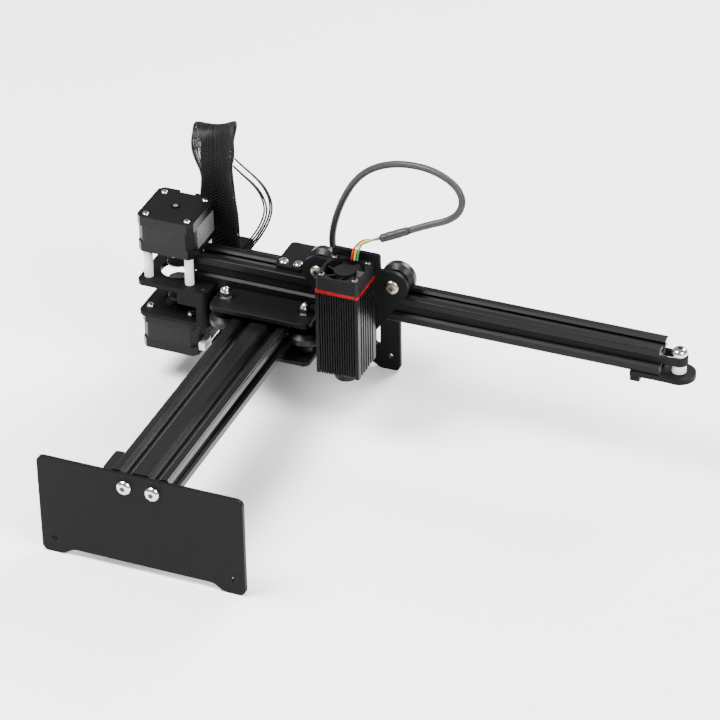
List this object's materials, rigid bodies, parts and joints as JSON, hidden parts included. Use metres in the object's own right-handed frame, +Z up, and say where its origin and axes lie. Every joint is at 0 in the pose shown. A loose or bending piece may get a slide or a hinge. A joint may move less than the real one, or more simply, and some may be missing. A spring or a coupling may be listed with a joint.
{
  "type": "desktop laser engraver",
  "caption": "Cantilever desktop laser engraver: flat V-slot rail on foot plates, sliding gantry arm and a finned laser module on a carriage.",
  "frame": {"origin": "bottom centre of the bounding box, on the table", "axes": "+X along the cross beam away from the motors, +Y from the front foot plate to the rear one, +Z up"},
  "size_m": [0.3984, 0.2913, 0.1957],
  "materials": {
    "anodised": "satin black anodised extrusion",
    "powder": "satin black powder coat",
    "motor_black": "gloss black paint",
    "steel": "nickel plated",
    "chrome": "polished",
    "alloy": "turned bare aluminium",
    "black_plastic": "moulded",
    "white_plastic": "nylon",
    "belt": "matt",
    "red_band": "clear red acrylic",
    "braid": "braided monofilament",
    "cable_grey": "matt",
    "wire_black": "satin",
    "lead_colour": "pvc",
    "board": "solder mask",
    "lens": "coated"
  },
  "bodies": {
    "base": {"y_beam": "anodised", "front_foot_plate": "powder", "rear_foot_plate": "powder", "belt_anchors": "black_plastic", "base_screws": "chrome", "y_belt": "belt"},
    "gantry": {"carriage_top_plate": "powder", "carriage_bottom_plate": "powder", "acorn_nuts": "chrome", "x_beam": "anodised", "gantry_screws": "chrome", "upper_motor_plate": "powder", "lower_motor_plate": "powder", "motor_plate_rib": "powder", "wheel_bolts": "steel", "spacer_sleeves": "powder", "nylon_spacers": "white_plastic", "x_motor_caps": "motor_black", "x_motor_stator": "motor_black", "y_motor_caps": "motor_black", "y_motor_stator": "motor_black", "motor_sockets": "white_plastic", "x_belt": "belt", "y_belt_loop": "belt", "idler_axles": "steel", "idler_bracket": "powder", "control_bracket": "powder", "control_housing": "black_plastic", "control_board": "board", "cable_clamps": "black_plastic", "cable_sleeve": "braid", "sleeve_wires": "wire_black", "laser_cable": "cable_grey"},
    "x_carriage": {"x_carriage_plate": "powder", "x_wheel_bolts": "steel", "belt_clamp": "black_plastic", "laser_mount_plate": "powder", "laser_heatsink": "anodised", "laser_diode": "alloy", "laser_band": "red_band", "fan_frame": "black_plastic", "module_screws": "chrome", "heat_shrink": "black_plastic", "laser_leads": "lead_colour"},
    "x_shaft": {"x_motor_rotor": "steel", "x_pulley": "alloy"},
    "y_shaft": {"y_motor_rotor": "steel", "y_pulley": "alloy"},
    "y_idler_a": {"y_idler_front": "alloy"},
    "y_idler_b": {"y_idler_rear": "alloy"},
    "x_idler": {"x_idler_roller": "white_plastic"},
    "focus": {"focus_ring": "anodised"},
    "fan": {"fan_rotor": "black_plastic"},
    "wheel_front_left": {"y_wheel_front_left": "black_plastic"},
    "wheel_front_right": {"y_wheel_front_right": "black_plastic"},
    "wheel_rear_left": {"y_wheel_rear_left": "black_plastic"},
    "wheel_rear_right": {"y_wheel_rear_right": "black_plastic"},
    "wheel_x_left": {"x_wheel_left": "black_plastic"},
    "wheel_x_right": {"x_wheel_right": "black_plastic"},
    "wheel_x_lower": {"x_wheel_lower": "black_plastic"}
  },
  "joints": [
    {"name": "y_slide", "type": "slide", "parent": "base", "child": "gantry", "axis": [0, 1, 0], "range_m": [-0.16, 0.003]},
    {"name": "x_slide", "type": "slide", "parent": "gantry", "child": "x_carriage", "axis": [1, 0, 0], "range_m": [0, 0.17], "deforming": ["laser_cable"]},
    {"name": "wheel_front_left_spin", "type": "hinge", "parent": "gantry", "child": "wheel_front_left", "pos_m": [-0.132, 0.066, 0.0659], "axis": [0, 0, 1], "continuous": true},
    {"name": "wheel_front_right_spin", "type": "hinge", "parent": "gantry", "child": "wheel_front_right", "pos_m": [-0.0725, 0.066, 0.0659], "axis": [0, 0, 1], "continuous": true},
    {"name": "wheel_rear_left_spin", "type": "hinge", "parent": "gantry", "child": "wheel_rear_left", "pos_m": [-0.132, 0.11, 0.0659], "axis": [0, 0, 1], "continuous": true},
    {"name": "wheel_rear_right_spin", "type": "hinge", "parent": "gantry", "child": "wheel_rear_right", "pos_m": [-0.0725, 0.11, 0.0659], "axis": [0, 0, 1], "continuous": true},
    {"name": "wheel_x_left_spin", "type": "hinge", "parent": "x_carriage", "child": "wheel_x_left", "pos_m": [-0.06625, 0.088, 0.11325], "axis": [0, 1, 0], "continuous": true},
    {"name": "wheel_x_right_spin", "type": "hinge", "parent": "x_carriage", "child": "wheel_x_right", "pos_m": [-0.01185, 0.088, 0.11325], "axis": [0, 1, 0], "continuous": true},
    {"name": "wheel_x_lower_spin", "type": "hinge", "parent": "x_carriage", "child": "wheel_x_lower", "pos_m": [-0.03905, 0.088, 0.07375], "axis": [0, 1, 0], "continuous": true},
    {"name": "x_motor_spin", "type": "hinge", "parent": "gantry", "child": "x_shaft", "pos_m": [-0.17775, 0.088, 0.0935], "axis": [0, 0, 1], "continuous": true},
    {"name": "x_idler_spin", "type": "hinge", "parent": "gantry", "child": "x_idler", "pos_m": [0.18775, 0.088, 0.0935], "axis": [0, 0, 1], "continuous": true},
    {"name": "y_motor_spin", "type": "hinge", "parent": "gantry", "child": "y_shaft", "pos_m": [-0.17775, 0.088, 0.0659], "axis": [0, 0, 1], "continuous": true},
    {"name": "y_idler_front_spin", "type": "hinge", "parent": "gantry", "child": "y_idler_a", "pos_m": [-0.12445, 0.0817, 0.0659], "axis": [0, 0, 1], "continuous": true},
    {"name": "y_idler_rear_spin", "type": "hinge", "parent": "gantry", "child": "y_idler_b", "pos_m": [-0.12445, 0.0943, 0.0659], "axis": [0, 0, 1], "continuous": true},
    {"name": "fan_spin", "type": "hinge", "parent": "x_carriage", "child": "fan", "pos_m": [-0.03835, 0.0555, 0.125], "axis": [0, 0, 1], "continuous": true},
    {"name": "focus_turn", "type": "hinge", "parent": "x_carriage", "child": "focus", "pos_m": [-0.03835, 0.0555, 0.056], "axis": [0, 0, 1], "range_deg": [-180, 180]}
  ],
  "couplings": [
    {"joint": "wheel_front_left_spin", "follows": "y_slide", "rad_per_m": -96.154},
    {"joint": "wheel_front_right_spin", "follows": "y_slide", "rad_per_m": 96.154},
    {"joint": "wheel_rear_left_spin", "follows": "y_slide", "rad_per_m": -96.154},
    {"joint": "wheel_rear_right_spin", "follows": "y_slide", "rad_per_m": 96.154},
    {"joint": "wheel_x_left_spin", "follows": "x_slide", "rad_per_m": 96.154},
    {"joint": "wheel_x_right_spin", "follows": "x_slide", "rad_per_m": 96.154},
    {"joint": "wheel_x_lower_spin", "follows": "x_slide", "rad_per_m": -96.154},
    {"joint": "x_motor_spin", "follows": "x_slide", "rad_per_m": 157.08},
    {"joint": "x_idler_spin", "follows": "x_slide", "rad_per_m": 196.08},
    {"joint": "y_motor_spin", "follows": "y_slide", "rad_per_m": 157.08},
    {"joint": "y_idler_front_spin", "follows": "y_slide", "rad_per_m": -192.31},
    {"joint": "y_idler_rear_spin", "follows": "y_slide", "rad_per_m": -192.31}
  ]
}
